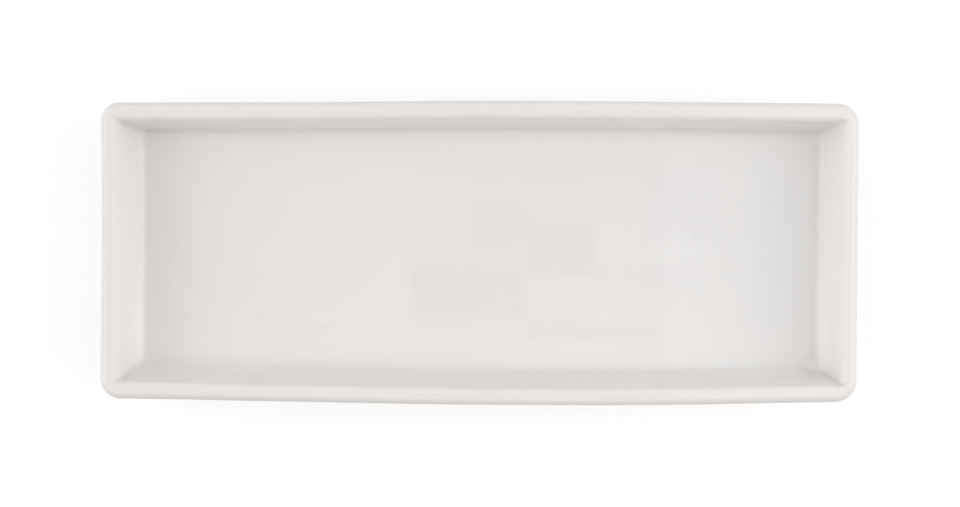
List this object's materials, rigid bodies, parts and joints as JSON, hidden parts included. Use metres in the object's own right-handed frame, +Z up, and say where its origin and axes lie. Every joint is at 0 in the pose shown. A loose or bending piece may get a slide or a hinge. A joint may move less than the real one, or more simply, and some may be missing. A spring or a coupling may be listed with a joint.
{
  "type": "asparagus plate",
  "caption": "Long shallow porcelain tray with steep walls, a rounded rim, gently bowed sides and a bare foot ring, for serving asparagus spears lying full length.",
  "frame": {"origin": "middle of the foot ring's standing face, on the table", "axes": "+X along the length, +Y across the width, +Z up from the table"},
  "size_m": [0.3, 0.121, 0.03],
  "materials": {
    "bisque": "fine bare porcelain, ground smooth and matt where the foot ring stands",
    "glaze": "clear white gloss glaze, slightly uneven, with faint specks and hairline wear"
  },
  "bodies": {
    "root": {"porcelain_body": "bisque", "glaze_coat": "glaze", "underside_glaze": "glaze"}
  },
  "joints": []
}
